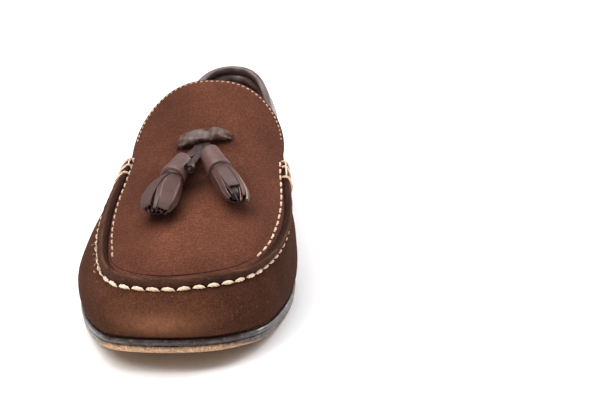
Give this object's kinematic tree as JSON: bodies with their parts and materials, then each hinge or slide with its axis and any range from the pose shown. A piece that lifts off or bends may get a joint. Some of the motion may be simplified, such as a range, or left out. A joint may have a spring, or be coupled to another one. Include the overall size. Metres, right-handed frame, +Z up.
{
  "type": "tassel loafer",
  "caption": "Slip-on tassel loafer for the right foot: suede upper with a raised hand-sewn moccasin seam, smooth leather bow and tassels, thin leather sole and low stacked heel.",
  "frame": {"origin": "centre of the outline on the floor", "axes": "+X to the inner (medial) side, +Y from toe to heel, +Z up from the floor"},
  "size_m": [0.1076, 0.3022, 0.0968],
  "materials": {
    "sole_edge": "dark burnished leather edge, gloss above and worn tan below",
    "heel_leather": "burnished stacked leather",
    "lift_rubber": "matt black-brown rubber",
    "sock_leather": "dark smooth sock leather",
    "suede": "brown suede with short nap",
    "seam_suede": "darker brown suede, gathered",
    "collar_leather": "smooth brown leather with a soft sheen",
    "trim_leather": "smooth purple-brown leather, satin",
    "fringe_leather": "smooth purple-brown leather with raw cut edges",
    "thread": "thick waxed cream thread"
  },
  "bodies": {
    "root": {"outsole": "sole_edge", "heel_stack": "heel_leather", "top_lift": "lift_rubber", "insole": "sock_leather", "upper": "suede", "apron_ridge": "seam_suede", "collar_binding": "collar_leather", "bow": "trim_leather", "tassel_cap_outer": "trim_leather", "tassel_fringe_outer": "fringe_leather", "tassel_cap_inner": "trim_leather", "tassel_fringe_inner": "fringe_leather", "lace_outer": "trim_leather", "lace_inner": "trim_leather"}
  },
  "joints": []
}
